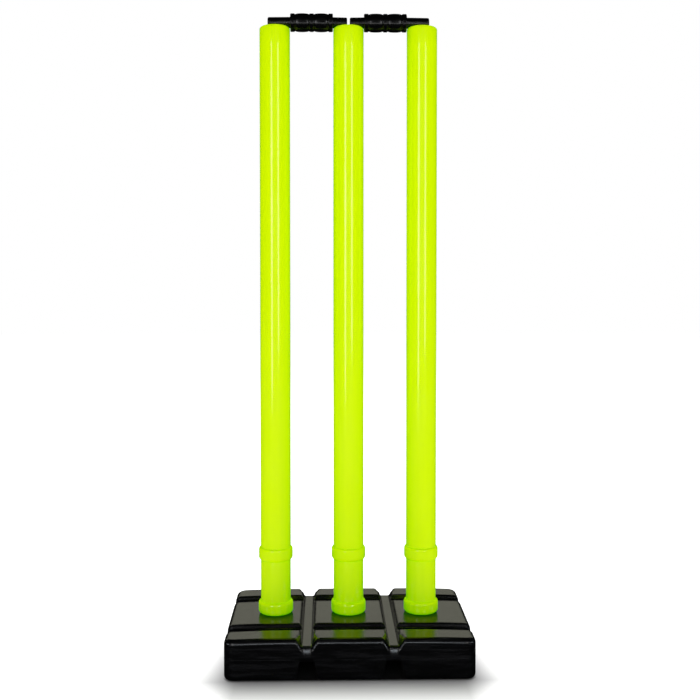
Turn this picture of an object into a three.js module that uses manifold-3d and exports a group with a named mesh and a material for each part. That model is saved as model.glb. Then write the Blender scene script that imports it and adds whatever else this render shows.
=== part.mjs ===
// A free-standing cricket wicket: three hollow plastic stumps that lift on and off holders,
// a weighted moulded base that carries the holders, and two bails across the stumps' crowns.
// Millimetres, +Z up. The origin is the centre of the base's footprint, the bowler's side
// faces -Y, and X runs along the bails.
import * as THREE from "three";
import { mergeVertices } from "three/addons/utils/BufferGeometryUtils.js";
import Module from "manifold-3d";

const wasm = await Module();
wasm.setup();

// Angles, clearances and how finely arcs are drawn
const degree = Math.PI / 180;
const quarterTurn = 90 * degree;
const halfTurn = 180 * degree;
const fullTurn = 360 * degree;
const fitGap = 0.3;
const overrun = 4;
const weldDistance = 1e-4;
const leastFillet = 0.4;
const fineArcSteps = 2;
const arcSteps = 3;

// Base: overall size, wall and edges
const baseWidth = 288;
const baseDepth = 197;
const baseHeight = 48;
const baseWall = 3;
const baseCornerRadius = 12;
const baseTopFillet = 6;
const baseFootFillet = 4.5;
const baseCornerSteps = 4;

// Base: two deep channels that run front to back, two shallow grooves that run side to side,
// and a channel under each deep one that draws the mould's two halves together
const channelSpacing = 98.8;
const channel = { floorHalf: 4.8, depth: 9.4, wallAngle: 60 * degree, shoulder: 3.5, corner: 1.5 };
const grooveSpacing = 109.5;
const groove = { floorHalf: 7.7, depth: 5, wallAngle: 70 * degree, shoulder: 3.2, corner: 1.5 };
const underChannel = { floorHalf: 6.4, depth: 21.5, wallAngle: 77 * degree, shoulder: 3.4, corner: 2 };

// Base: each deep channel runs out down the front and back faces as a sloping, narrower scoop
const scoopFloorHalf = 3.4;
const scoopLean = 20 * degree;
const scoopDrop = 20;

// Base: a round well for each holder, and a tapered dimple under it that meets the well's floor
const stumpPitch = 88.9;
const wellRadius = 14.6;
const wellDepth = 36;
const wellFloor = 3;
const dimpleFootRadius = 14.4;
const dimpleTopRadius = 12;
const wellSegments = 24;

// Base: the filler's neck, sunk in a round pocket in the back face
const pocketRadius = 16.5;
const pocketDepth = 9;
const neckBore = 11;
const neckLength = 10;
const fillerSegments = 20;

// Ballast: how high the sand stands over the walls of the underside channels
const sandCover = 9;

// Filler cap and its seal
const capFingerGap = 2.1;
const capFlangeThickness = 2.8;
const capStemWall = 2;
const capGripHeight = 3.4;
const capGripThickness = 4.4;
const capGripInset = 2.4;
const capEdgeRadius = 0.8;
const capScallops = 12;
const capScallopRadius = 1.6;
const capScallopDepth = 0.55;
const capScallopSegments = 10;
const sealThickness = 1.6;
const sealWidth = 2.2;

// Holder: a collar that stands on the base, with a barbed spigot in the well and a plain one in the stump
const holderWall = 2.3;
const holderSetback = 0.1;
const flangeStand = 2.9;
const flangeHeight = 15.4;
const flangeFootRadius = 4;
const flangeTopSlope = 4.2;
const holderBarbs = 3;
const holderBarbPitch = 8;
const holderBarbHeight = 4.5;
const holderBarbReach = 0.6;
const holderSpigotLength = 42;
const holderLeadIn = 3;
const holderTipWall = 2;
const roundSegments = 24;

// Stump: a moulded tube with a rounded crown, and a bead round its mouth
const wicketHeight = 711;
const mouthHeight = 65.6;
const stumpRadius = 18.3;
const stumpWall = 2.4;
const crownFilletWidth = 4;
const crownFilletHeight = 8;
const crownThickness = 8.5;
const crownSteps = 6;
const beadStand = 2.3;
const beadFootSlope = 5;
const beadFootTurn = 30 * degree;
const beadBand = 7.2;
const beadTopSlope = 3.4;
const beadLip = 0.4;

// Bails: a turned shape with a long spigot over the outer stump and a short one over the middle stump
const bailAxisRise = 5.5;
const bailSpigotRadius = 6.6;
const bailSpigotTaper = 0.3;
const bailTipRound = 1.6;
const bailLongSpigot = 27.2;
const bailMiddleGap = 3.3;
const bailShoulderGap = 0.5;
const bailEndRing = 5.4;
const bailMiddleRing = 5.4;
const bailRingRadius = 10.8;
const bailRingEdge = 1;
const bailBulgeRadius = 11;
const bailNeckRadius = 9.9;
const bailNeckLength = 0.9;
const bailShoulderRadius = 8.4;
const bailBulgeSteps = 4;
const bailSegments = 18;

// Finishes
const neonPlastic = { color: 0xc4ee00, roughness: 0.3, metalness: 0 };
const blackBasePlastic = { color: 0x121314, roughness: 0.4, metalness: 0 };
const blackBailPlastic = { color: 0x101010, roughness: 0.35, metalness: 0 };
const sealRubber = { color: 0x1c1c1c, roughness: 0.8, metalness: 0 };
const dampSand = { color: 0xb09a74, roughness: 0.95, metalness: 0 };

// Sizes and places that follow from the ones above
const stumpPlaces = { left: -stumpPitch, middle: 0, right: stumpPitch };
const crownZ = baseHeight + wicketHeight;
const mouthZ = baseHeight + mouthHeight;
const bailAxisZ = crownZ + bailAxisRise;
const wellFloorZ = baseHeight - wellDepth;
const fillLevel = underChannel.depth + baseWall + sandCover;
const fillerZ = baseHeight / 2;
const pocketFloorY = baseDepth / 2 - pocketDepth;
const neckEndY = pocketFloorY - baseWall - neckLength;
const capSeatY = pocketFloorY + fitGap + sealThickness + fitGap;
const scoop = { ...channel, floorHalf: scoopFloorHalf };

// Turns a closed three.js geometry into a solid, keeping positions only.
function solidOf(geometry) {
  const bare = geometry.index ? geometry.toNonIndexed() : geometry.clone();
  for (const name of Object.keys(bare.attributes)) {
    if (name !== "position") bare.deleteAttribute(name);
  }
  const merged = mergeVertices(bare, weldDistance);
  return new wasm.Manifold(
    new wasm.Mesh({
      numProp: 3,
      vertProperties: new Float32Array(merged.attributes.position.array),
      triVerts: new Uint32Array(merged.index.array),
    }),
  );
}

// Turns a solid back into a three.js geometry with flat faces.
function geometryOf(solid) {
  const mesh = solid.getMesh();
  const stride = mesh.numProp;
  const corners = new Float32Array((mesh.vertProperties.length / stride) * 3);
  for (let i = 0; i < corners.length / 3; i += 1) {
    corners.set(mesh.vertProperties.subarray(i * stride, i * stride + 3), i * 3);
  }
  const indexed = new THREE.BufferGeometry();
  indexed.setAttribute("position", new THREE.BufferAttribute(corners, 3));
  indexed.setIndex(new THREE.BufferAttribute(new Uint32Array(mesh.triVerts), 1));
  const flat = indexed.toNonIndexed();
  flat.computeVertexNormals();
  return flat;
}

// Revolves a profile of [radius, height] points about the Z axis.
function revolved(points, segments) {
  const profile = points.map(([r, z]) => new THREE.Vector2(r, z));
  return new THREE.LatheGeometry(profile, segments).rotateX(quarterTurn);
}

// A plain cylinder from one height to another on the Z axis.
function cylinder(radius, low, high, segments) {
  return revolved([[0, low], [radius, low], [radius, high], [0, high]], segments);
}

// Points of an arc of an ellipse, from one angle to another, both ends included.
function ovalArc([cx, cy], [rx, ry], from, to, steps) {
  return Array.from({ length: steps + 1 }, (_, i) => {
    const turn = from + ((to - from) * i) / steps;
    return [cx + rx * Math.cos(turn), cy + ry * Math.sin(turn)];
  });
}

// Points of a circular arc, from one angle to another, both ends included.
function arc(centre, radius, from, to, steps) {
  return ovalArc(centre, [radius, radius], from, to, steps);
}

// One ring of a rectangle with rounded corners, anticlockwise as seen from above.
function roundedRing(halfWidth, halfDepth, radius) {
  const quadrants = [[1, 1], [-1, 1], [-1, -1], [1, -1]];
  return quadrants.flatMap(([sx, sy], i) => {
    const centre = [sx * (halfWidth - radius), sy * (halfDepth - radius)];
    return arc(centre, radius, i * quarterTurn, (i + 1) * quarterTurn, baseCornerSteps);
  });
}

// Levels of the base from its foot to its top, as [height, inset from the outline].
// Both edges are rounded, and the whole form can be drawn in all round by one inset.
function baseLevels(inset) {
  const foot = Math.max(baseFootFillet - inset, leastFillet);
  const top = Math.max(baseTopFillet - inset, leastFillet);
  const footCentre = [inset + foot, inset + foot];
  const topCentre = [inset + top, baseHeight - inset - top];
  return [
    ...arc(footCentre, foot, -quarterTurn, -halfTurn, arcSteps),
    ...arc(topCentre, top, halfTurn, quarterTurn, arcSteps),
  ].map(([side, z]) => [z, side]);
}

// The base's block: rounded rings lofted through the levels and closed at the foot and the top.
function baseBlock(inset) {
  const rings = baseLevels(inset).map(([z, side]) => {
    const radius = Math.max(baseCornerRadius - side, leastFillet);
    return roundedRing(baseWidth / 2 - side, baseDepth / 2 - side, radius).map(([x, y]) => [x, y, z]);
  });
  const count = rings[0].length;
  const faces = [];
  for (let ring = 0; ring + 1 < rings.length; ring += 1) {
    for (let i = 0; i < count; i += 1) {
      const a = ring * count + i;
      const b = ring * count + ((i + 1) % count);
      faces.push([a, b, b + count], [a, b + count, a + count]);
    }
  }
  const top = (rings.length - 1) * count;
  for (let i = 1; i + 1 < count; i += 1) {
    faces.push([0, i + 1, i], [top, top + i, top + i + 1]);
  }
  const geometry = new THREE.BufferGeometry();
  geometry.setAttribute("position", new THREE.Float32BufferAttribute(rings.flat(2), 3));
  geometry.setIndex(faces.flat());
  return geometry;
}

// The section of a groove with sloping walls, rounded shoulders and rounded floor corners.
// Its mouth lies at height zero and its floor below, the cut runs on above the mouth, and the
// offset grows it sideways by a wall's thickness.
function grooveSection(form, offset) {
  const shoulder = Math.max(form.shoulder - offset, leastFillet);
  const corner = form.corner + offset;
  const rounds = shoulder + corner;
  const wall = (form.depth - rounds * (1 - Math.cos(form.wallAngle))) / Math.sin(form.wallAngle);
  const spread = rounds * Math.sin(form.wallAngle) + wall * Math.cos(form.wallAngle);
  const half = form.floorHalf + spread;
  const floorCentre = [form.floorHalf, corner - form.depth];
  const right = [
    ...arc(floorCentre, corner, -quarterTurn, form.wallAngle - quarterTurn, fineArcSteps),
    ...arc([half, -shoulder], shoulder, quarterTurn + form.wallAngle, quarterTurn, fineArcSteps),
    [half, overrun],
  ];
  const left = right.map(([x, y]) => [-x, y]).reverse();
  return new THREE.Shape([...right, ...left].map(([x, y]) => new THREE.Vector2(x, y)));
}

// A groove's cutter, centred on the origin and running along Y, with its mouth facing up.
function grooveCutter(form, length, offset) {
  const cutter = new THREE.ExtrudeGeometry(grooveSection(form, offset), {
    depth: length,
    bevelEnabled: false,
  });
  return cutter.translate(0, 0, -length / 2).rotateX(quarterTurn);
}

// The scoop's cutter: a groove leant over, so that its floor rises inward from the face's foot point.
function scoopCutter(offset) {
  return grooveCutter(scoop, scoopDrop, offset)
    .translate(0, scoopDrop / 2, scoop.depth)
    .rotateX(quarterTurn - scoopLean)
    .translate(0, offset / Math.cos(scoopLean) - baseDepth / 2, baseHeight - scoopDrop);
}

// Every groove that the base's outside has, offset by a wall's thickness for the hollow inside it.
function baseCuts(offset) {
  const top = baseHeight - offset;
  const cuts = [];
  for (const side of [-1, 1]) {
    const x = (side * channelSpacing) / 2;
    const y = (side * grooveSpacing) / 2;
    const alongY = baseDepth + 2 * overrun;
    const alongX = baseWidth + 2 * overrun;
    cuts.push(grooveCutter(channel, alongY, offset).translate(x, 0, top));
    cuts.push(grooveCutter(underChannel, alongY, offset).rotateY(halfTurn).translate(x, 0, offset));
    cuts.push(grooveCutter(groove, alongX, offset).rotateZ(quarterTurn).translate(0, y, top));
    cuts.push(scoopCutter(offset).translate(x, 0, 0));
    cuts.push(scoopCutter(offset).rotateZ(halfTurn).translate(x, 0, 0));
  }
  return cuts.map(solidOf);
}

// The base's block with its grooves taken out, as its outside or, drawn in by a wall, its inside.
function groovedBlock(inset) {
  return baseCuts(inset).reduce((body, cut) => body.subtract(cut), solidOf(baseBlock(inset)));
}

// The tapered dimple under a well, grown by a wall's thickness.
function dimple(wall) {
  const top = wellFloorZ - wellFloor + wall;
  const profile = [
    [0, -overrun],
    [dimpleFootRadius + wall, -overrun],
    [dimpleFootRadius + wall, 0],
    [dimpleTopRadius + wall, top],
    [0, top],
  ];
  return revolved(profile, wellSegments);
}

// Lays a piece made on the Z axis along +Y at the filler's height.
function towardsBack(geometry) {
  return geometry.rotateX(-quarterTurn).translate(0, 0, fillerZ);
}

// The round walls inside the base: one column round each well and dimple, and the filler's pocket and neck.
function innerColumns(wall) {
  const wells = Object.values(stumpPlaces).flatMap((x) => [
    cylinder(wellRadius + wall, wellFloorZ - wall, baseHeight, wellSegments).translate(x, 0, 0),
    dimple(wall).translate(x, 0, 0),
  ]);
  const back = baseDepth / 2;
  const pocket = cylinder(pocketRadius + wall, pocketFloorY - wall, back, fillerSegments);
  const neck = cylinder(neckBore + wall, neckEndY + baseWall - wall, back, fillerSegments);
  return [...wells, towardsBack(pocket), towardsBack(neck)].map(solidOf);
}

// The hollow inside the base for a given wall.
function baseHollow(wall) {
  return innerColumns(wall).reduce((body, column) => body.subtract(column), groovedBlock(wall));
}

// The base's hollow moulding, with its wells, dimples and filler neck open.
function baseShell() {
  const mouths = Object.values(stumpPlaces).flatMap((x) => [
    cylinder(wellRadius, wellFloorZ, baseHeight + overrun, wellSegments).translate(x, 0, 0),
    dimple(0).translate(x, 0, 0),
  ]);
  const back = baseDepth / 2 + overrun;
  mouths.push(towardsBack(cylinder(pocketRadius, pocketFloorY, back, fillerSegments)));
  mouths.push(towardsBack(cylinder(neckBore, neckEndY - overrun, back, fillerSegments)));
  const shell = groovedBlock(0).subtract(baseHollow(baseWall));
  return mouths.map(solidOf).reduce((body, mouth) => body.subtract(mouth), shell);
}

// Sand fills the hollow up to its level, and stays clear of the walls.
function sandBallast() {
  const above = new THREE.BoxGeometry(baseWidth, baseDepth, baseHeight);
  above.translate(0, 0, fillLevel + baseHeight / 2);
  return baseHollow(baseWall + fitGap).subtract(solidOf(above));
}

// The cap stands on the Z axis with its stem down and its flange's underside at height zero.
function fillerCap() {
  const flangeRadius = pocketRadius - capFingerGap;
  const stemRadius = neckBore - fitGap;
  const stemBore = stemRadius - capStemWall;
  const stemLength = capSeatY - neckEndY;
  const edgeCentre = [flangeRadius - capEdgeRadius, capFlangeThickness - capEdgeRadius];
  const profile = [
    [0, 0],
    [stemBore, 0],
    [stemBore, -stemLength],
    [stemRadius, -stemLength],
    [stemRadius, 0],
    [flangeRadius, 0],
    ...arc(edgeCentre, capEdgeRadius, 0, quarterTurn, fineArcSteps),
    [0, capFlangeThickness],
  ];
  const gripFoot = capFlangeThickness / 2;
  const gripHeight = capFlangeThickness + capGripHeight - gripFoot;
  const grip = new THREE.BoxGeometry(2 * (flangeRadius - capGripInset), capGripThickness, gripHeight);
  grip.translate(0, 0, gripFoot + gripHeight / 2);
  let cap = solidOf(revolved(profile, fillerSegments)).add(solidOf(grip));
  const reach = flangeRadius + capScallopRadius - capScallopDepth;
  for (let i = 0; i < capScallops; i += 1) {
    const turn = ((i + 1 / 2) / capScallops) * fullTurn;
    const cutter = cylinder(capScallopRadius, -overrun, capFlangeThickness + overrun, capScallopSegments);
    cap = cap.subtract(solidOf(cutter.translate(reach * Math.cos(turn), reach * Math.sin(turn), 0)));
  }
  return cap;
}

// A flat ring between the pocket's floor and the cap's flange.
function capSeal() {
  const rim = neckBore + sealWidth;
  const profile = [
    [neckBore, 0],
    [rim, 0],
    [rim, sealThickness],
    [neckBore, sealThickness],
    [neckBore, 0],
  ];
  return solidOf(revolved(profile, fillerSegments));
}

// Barbs grip the well, the collar's flange stands on the base, and the upper spigot fills the stump's mouth.
function holder() {
  const collarRadius = stumpRadius - holderSetback;
  const flangeRadius = collarRadius + flangeStand;
  const barbRadius = wellRadius - fitGap;
  const footRadius = barbRadius - holderBarbReach;
  const spigotRadius = stumpRadius - stumpWall - fitGap;
  const bore = Math.min(footRadius, spigotRadius - holderTipWall) - holderWall;
  const foot = wellFloorZ + fitGap;
  const seat = baseHeight + fitGap;
  const footRound = [flangeRadius - flangeFootRadius, seat + flangeFootRadius];
  const slopeFoot = seat + flangeHeight - flangeTopSlope;
  const shoulder = mouthZ - fitGap;
  const tip = shoulder + holderSpigotLength;
  const barbFeet = Array.from({ length: holderBarbs }, (_, i) => foot + i * holderBarbPitch);
  const profile = [
    [bore, foot],
    ...barbFeet.flatMap((z) => [
      [footRadius, z],
      [barbRadius, z + holderBarbHeight],
      [footRadius, z + holderBarbHeight],
    ]),
    [footRadius, seat],
    ...arc(footRound, flangeFootRadius, -quarterTurn, 0, arcSteps),
    ...ovalArc([collarRadius, slopeFoot], [flangeStand, flangeTopSlope], 0, quarterTurn, arcSteps),
    [collarRadius, shoulder],
    [spigotRadius, shoulder],
    [spigotRadius, tip - holderLeadIn],
    [spigotRadius - holderTipWall, tip],
    [bore, tip],
    [bore, foot],
  ];
  return solidOf(revolved(profile, roundSegments));
}

// A tube closed by a thick rounded crown, open at the mouth, with the bead's slopes below and above its band.
function stumpTube() {
  const bore = stumpRadius - stumpWall;
  const beadFoot = mouthZ + beadFootSlope;
  const beadTop = beadFoot + beadBand;
  const filletZ = crownZ - crownFilletHeight;
  const filletSize = [crownFilletWidth, crownFilletHeight];
  const domeRound = crownFilletHeight - stumpWall;
  const domeZ = crownZ - crownThickness;
  const lipRadius = stumpRadius + beadLip;
  const profile = [
    [bore, mouthZ],
    [lipRadius, mouthZ],
    ...ovalArc([lipRadius, beadFoot], [beadStand - beadLip, beadFootSlope], -beadFootTurn, 0, fineArcSteps),
    ...ovalArc([stumpRadius, beadTop], [beadStand, beadTopSlope], 0, quarterTurn, arcSteps),
    ...ovalArc([stumpRadius - crownFilletWidth, filletZ], filletSize, 0, quarterTurn, crownSteps),
    [0, crownZ],
    [0, domeZ],
    ...arc([bore - domeRound, domeZ - domeRound], domeRound, quarterTurn, 0, arcSteps),
    [bore, mouthZ],
  ];
  return solidOf(revolved(profile, roundSegments));
}

// A stump with the groove for the bails cut across its crown, along X at the bails' height.
function stump() {
  const length = 2 * (stumpRadius + overrun);
  const cutter = cylinder(bailSpigotRadius + fitGap, -length / 2, length / 2, roundSegments);
  return stumpTube().subtract(solidOf(cutter.rotateY(quarterTurn).translate(0, 0, bailAxisZ)));
}

// A spigot's rounded tip, from the axis outward at its start or back to the axis at its end.
function spigotTip(z, from, to) {
  const centre = [bailSpigotRadius - bailSpigotTaper - bailTipRound, z];
  return arc(centre, bailTipRound, from, to, fineArcSteps);
}

// A ring with rounded edges along a bail.
function bailRing(start, length) {
  const edge = bailRingRadius - bailRingEdge;
  return [
    ...arc([edge, start + bailRingEdge], bailRingEdge, -quarterTurn, 0, fineArcSteps),
    ...arc([edge, start + length - bailRingEdge], bailRingEdge, 0, quarterTurn, fineArcSteps),
  ];
}

// A barrel bulge between two necks.
function bailBulge(start, length) {
  const size = [bailBulgeRadius - bailNeckRadius, length / 2];
  return ovalArc([bailNeckRadius, start + length / 2], size, -quarterTurn, quarterTurn, bailBulgeSteps);
}

// A bail on the Z axis, long spigot first: spigot, ring, bulge, ring, bulge, ring, spigot.
// It is turned by half a facet, so that an edge between two facets lies on top and underneath.
function bail() {
  const barrel = stumpPitch - 2 * stumpRadius - 2 * bailShoulderGap;
  const shortSpigot = stumpRadius + bailShoulderGap - bailMiddleGap / 2;
  const total = bailLongSpigot + barrel + shortSpigot;
  const bulge = (barrel - 2 * bailEndRing - bailMiddleRing) / 2 - 2 * bailNeckLength;
  const firstRing = bailLongSpigot;
  const firstBulge = firstRing + bailEndRing + bailNeckLength;
  const middleRing = firstBulge + bulge + bailNeckLength;
  const secondBulge = middleRing + bailMiddleRing + bailNeckLength;
  const lastRing = secondBulge + bulge + bailNeckLength;
  const profile = [
    [0, 0],
    ...spigotTip(bailTipRound, -quarterTurn, 0),
    [bailSpigotRadius, firstRing],
    [bailShoulderRadius, firstRing],
    ...bailRing(firstRing, bailEndRing),
    ...bailBulge(firstBulge, bulge),
    ...bailRing(middleRing, bailMiddleRing),
    ...bailBulge(secondBulge, bulge),
    ...bailRing(lastRing, bailEndRing),
    [bailShoulderRadius, lastRing + bailEndRing],
    [bailSpigotRadius, lastRing + bailEndRing],
    ...spigotTip(total - bailTipRound, 0, quarterTurn),
    [0, total],
  ];
  return solidOf(revolved(profile, bailSegments).rotateZ(halfTurn / bailSegments));
}

const wicket = new THREE.Group();

// Adds one named mesh with a finish of its own, and gives it back so that it can be placed.
function place(name, solid, finish, parent = wicket) {
  const mesh = new THREE.Mesh(geometryOf(solid), new THREE.MeshStandardMaterial(finish));
  mesh.name = name;
  parent.add(mesh);
  return mesh;
}

place("base_shell", baseShell(), blackBasePlastic);
place("sand_ballast", sandBallast(), dampSand);

const filler = new THREE.Group();
filler.position.set(0, pocketFloorY, fillerZ);
filler.rotation.x = -quarterTurn;
wicket.add(filler);
place("cap_seal", capSeal(), sealRubber, filler).position.z = fitGap;
place("filler_cap", fillerCap(), blackBasePlastic, filler).position.z = capSeatY - pocketFloorY;

for (const [side, x] of Object.entries(stumpPlaces)) {
  place("holder_" + side, holder(), neonPlastic).position.x = x;
  place("stump_" + side, stump(), neonPlastic).position.x = x;
}

for (const [side, sign] of [["left", -1], ["right", 1]]) {
  const outerEnd = stumpPitch - stumpRadius - bailShoulderGap + bailLongSpigot;
  const lying = place("bail_" + side, bail(), blackBailPlastic);
  lying.rotation.y = -sign * quarterTurn;
  lying.position.set(sign * outerEnd, 0, bailAxisZ);
}

export default wicket;
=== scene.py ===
"""Dresses a free-standing cricket wicket: moulded base, collars, hollow stumps and turned bails.

Every surface is worked out on grids of numbers, in metres, in the frame's own axes: +Z up along
the stumps, X along the bails, and -Y towards the bowler.
"""

import bmesh
import bpy
import numpy as np
from bpy.props import FloatProperty, FloatVectorProperty, IntProperty, PointerProperty
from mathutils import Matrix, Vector


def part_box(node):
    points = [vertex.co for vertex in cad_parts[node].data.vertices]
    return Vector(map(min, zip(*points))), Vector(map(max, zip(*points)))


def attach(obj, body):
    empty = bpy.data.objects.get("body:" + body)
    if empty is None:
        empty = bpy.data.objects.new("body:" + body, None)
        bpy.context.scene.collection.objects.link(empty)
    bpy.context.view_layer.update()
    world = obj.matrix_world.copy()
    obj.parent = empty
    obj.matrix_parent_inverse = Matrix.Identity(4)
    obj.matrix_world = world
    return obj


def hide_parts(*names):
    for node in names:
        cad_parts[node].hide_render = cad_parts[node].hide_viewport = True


bl_info = {
    "name": "Cricket wicket",
    "version": (1, 0, 0),
    "blender": (4, 5, 0),
    "location": "3D View > Sidebar > Wicket",
    "description": "Builds the finished surfaces of a free-standing cricket wicket round its frame",
    "category": "Object",
}

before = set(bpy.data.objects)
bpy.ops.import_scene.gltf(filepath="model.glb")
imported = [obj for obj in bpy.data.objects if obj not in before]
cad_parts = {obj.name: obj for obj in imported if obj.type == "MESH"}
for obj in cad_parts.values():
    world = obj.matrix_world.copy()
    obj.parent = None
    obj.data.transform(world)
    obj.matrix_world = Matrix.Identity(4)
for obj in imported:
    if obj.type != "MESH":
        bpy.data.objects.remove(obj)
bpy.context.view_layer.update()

MM = 0.001
QUARTER = np.pi / 2
TINY = 1e-9
FIT_GAP = 0.3 * MM
WELD_DISTANCE = 0.02 * MM
LINE_TOLERANCE = 0.01 * MM
PLASTIC_IOR = 1.5
SENSOR_WIDTH = 36
WHITE = (1, 1, 1, 1)
SIDES = {"left": -1, "middle": 0, "right": 1}


def extent(node, axis):
    """Lowest and highest place of a frame node along one axis, 0 for X, 1 for Y and 2 for Z."""
    low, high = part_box(node)
    return low[axis], high[axis]


def reach(node, axis):
    """Half of a frame node's size along one axis."""
    low, high = extent(node, axis)
    return (high - low) / 2


def middle(node, axis):
    """Centre of a frame node along one axis."""
    low, high = extent(node, axis)
    return (high + low) / 2


STUMP_PLACES = {side: middle(f"stump_{side}", 0) for side in SIDES}
STUMP_PITCH = STUMP_PLACES["right"]
BASE_TOP = extent("base_shell", 2)[1]
CROWN_TOP = extent("stump_middle", 2)[1]
MOUTH = extent("stump_middle", 2)[0]
BAIL_AXIS = middle("bail_left", 2)


def length(name, description, millimetres, digits=4):
    """A size in metres, given in millimetres, with the name and the description that the sidebar shows."""
    return FloatProperty(
        name=name, description=description, default=millimetres * MM, min=0, precision=digits,
        unit="LENGTH",
    )


def slope(name, description, degrees):
    """An angle, given in degrees."""
    return FloatProperty(
        name=name, description=description, default=np.radians(degrees), subtype="ANGLE"
    )


def amount(name, description, default, highest=1.0):
    """A plain number from zero up."""
    return FloatProperty(
        name=name, description=description, default=default, min=0, max=highest, subtype="FACTOR"
    )


def count(name, description, default):
    """A whole number of steps or copies."""
    return IntProperty(name=name, description=description, default=default, min=1)


def power(name, description, default):
    """The strength of a light in watts."""
    return FloatProperty(name=name, description=description, default=default, min=0, subtype="POWER")


def colour(name, description, default):
    """A colour in linear light."""
    return FloatVectorProperty(
        name=name, description=description, default=default, min=0, max=1, size=3, subtype="COLOR"
    )


class WicketBaseSizes(bpy.types.PropertyGroup):
    """Sizes of the hollow moulded base."""

    wall: length("Wall", "Thickness of the moulding", 3)
    corner: length("Corner radius", "Radius of the upright corners", 12)
    top_fillet: length("Top fillet", "Rounding of the top edge", 6)
    foot_fillet: length("Foot fillet", "Rounding of the bottom edge", 4.5)
    crown: length("Crown", "How far the top falls away at its two ends", 1.8)
    least_fillet: length("Least fillet", "Smallest rounding left inside the wall", 0.4)
    channel_spacing: length("Channel spacing", "Between the two deep channels", 98.8)
    channel_floor: length("Channel floor", "Half of a deep channel's floor", 4.2)
    channel_depth: length("Channel depth", "Depth of the deep channels", 9.4)
    channel_slope: slope("Channel slope", "Slope of the deep channels' walls", 75)
    channel_shoulder: length("Channel shoulder", "Rounding at the top of a channel's walls", 4.5)
    channel_corner: length("Channel corner", "Rounding at a deep channel's floor", 1.5)
    mouth_floor: length("Mouth floor", "Half of a channel's floor at its two ends", 4.1)
    mouth_slope: slope("Mouth slope", "Slope of a channel's walls at its two ends", 60)
    mouth_round: length("Mouth rounding", "Rounding of its walls' top and foot there", 4.5)
    mouth_length: length("Mouth length", "How far in from its ends a channel opens out", 17)
    groove_spacing: length("Groove spacing", "Between the two shallow grooves", 109.5)
    groove_floor: length("Groove floor", "Half of a shallow groove's floor", 7.7)
    groove_depth: length("Groove depth", "Depth of the shallow grooves", 5)
    groove_slope: slope("Groove slope", "Slope of the shallow grooves' walls", 70)
    groove_shoulder: length("Groove shoulder", "Rounding at a shallow groove's mouth", 3.2)
    groove_corner: length("Groove corner", "Rounding at a shallow groove's floor", 1.5)
    tunnel_floor: length("Tunnel roof", "Half of an underside channel's roof", 6.4)
    tunnel_depth: length("Tunnel depth", "Height of the underside channels", 21.5)
    tunnel_slope: slope("Tunnel slope", "Slope of the underside channels' walls", 77)
    tunnel_shoulder: length("Tunnel shoulder", "Rounding at an underside channel's foot", 3.4)
    tunnel_corner: length("Tunnel corner", "Rounding at an underside channel's roof", 2)
    scoop_floor: length("Scoop floor", "Half of the floor of a scoop in the face", 3)
    scoop_slope: slope("Scoop slope", "Slope of a scoop's walls", 35)
    scoop_corner: length("Scoop corner", "Rounding between a scoop's floor and walls", 4)
    scoop_lean: slope("Scoop lean", "How far a scoop leans inwards at its top", 23)
    scoop_drop: length("Scoop drop", "From the base's top to a scoop's foot", 22.5)
    blend: length("Crossing blend", "Rounding where a groove meets a channel", 1.6)
    seam_height: length("Seam height", "Height of the mould's parting line", 24)
    seam_stand: length("Seam stand", "How far the parting line stands out", 0.12, 5)
    seam_half: length("Seam half", "Half width of the parting line", 0.45, 5)
    well_radius: length("Well radius", "Radius of the wells for the collars", 14.6)
    well_depth: length("Well depth", "Depth of the wells", 36)
    well_floor: length("Well floor", "Thickness between a well and its dimple", 3)
    dimple_foot: length("Dimple foot", "Radius of a dimple at the underside", 14.4)
    dimple_top: length("Dimple top", "Radius of a dimple at its top", 12)
    well_patch: length("Well patch", "Half of the flat square round a well", 22)
    pocket_radius: length("Pocket radius", "Radius of the filler's pocket", 16.5)
    pocket_depth: length("Pocket depth", "Depth of the filler's pocket", 9)
    pocket_wall: length("Pocket wall", "Thickness of the pocket's round wall", 0.9)
    pocket_patch: length("Pocket patch", "Half of the flat square round the pocket", 17.7)
    neck_bore: length("Neck bore", "Radius of the filler's neck", 11)
    neck_length: length("Neck length", "How far the neck reaches past the pocket", 10)
    rim: length("Rim", "Rounding of the small rims", 0.5)
    fine_step: length("Fine step", "Grid step across grooves, outside", 0.9)
    inner_step: length("Inner step", "Grid step across grooves, inside", 2.4)
    coarse_step: length("Coarse step", "Grid step on plain stretches", 5)
    side_step: length("Side step", "Grid step up the sides", 2.2)


class WicketCapSizes(bpy.types.PropertyGroup):
    """Sizes of the filler cap."""

    stem_wall: length("Stem wall", "Thickness of the cap's stem", 2)
    flange: length("Flange", "Thickness of the cap's flange", 2.8)
    edge: length("Edge", "Rounding of the cap's edge", 0.8)
    grip_width: length("Grip width", "Thickness of the grip across", 4.4)
    grip_inset: length("Grip inset", "From the cap's edge to the grip's end", 2.4)
    grip_round: length("Grip round", "Rounding of the grip's edges", 1.1)
    scallops: count("Scallops", "Number of finger scallops round the edge", 12)
    scallop_depth: length("Scallop depth", "Depth of the finger scallops", 0.55, 5)
    seal_round: length("Seal round", "Rounding of the sealing ring", 0.5, 5)
    segments: count("Segments", "Steps round the cap", 240)
    rows: count("Rows", "Rings from the cap's centre to its edge", 44)


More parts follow.
